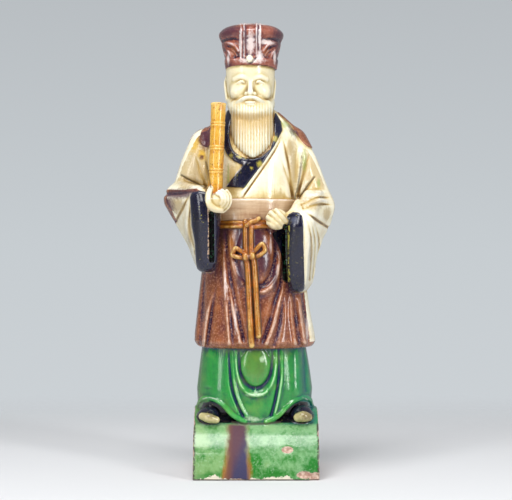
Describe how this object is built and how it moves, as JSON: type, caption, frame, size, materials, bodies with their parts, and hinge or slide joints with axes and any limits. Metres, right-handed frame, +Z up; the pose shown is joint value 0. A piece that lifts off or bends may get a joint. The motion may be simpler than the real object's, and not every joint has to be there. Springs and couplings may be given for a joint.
{
  "type": "roof ridge figure",
  "caption": "Glazed stoneware ridge tile carrying a standing bearded immortal in a tall cap and layered robes, one hand holding a bamboo tube, the other a cord.",
  "frame": {"origin": "on the ground under the middle of the bounding box, below the arch of the ridge tile", "axes": "+Z up, the figure faces -Y, the ridge runs along X, and +X is on the right of someone who faces the figure"},
  "size_m": [0.166, 0.127, 0.44],
  "materials": {
    "glazed_stoneware": "lead-glazed stoneware in cream, amber, aubergine, green and blue-black, crazed and pooled dark in the folds"
  },
  "bodies": {
    "root": {"ridge_figure": "glazed_stoneware"}
  },
  "joints": []
}
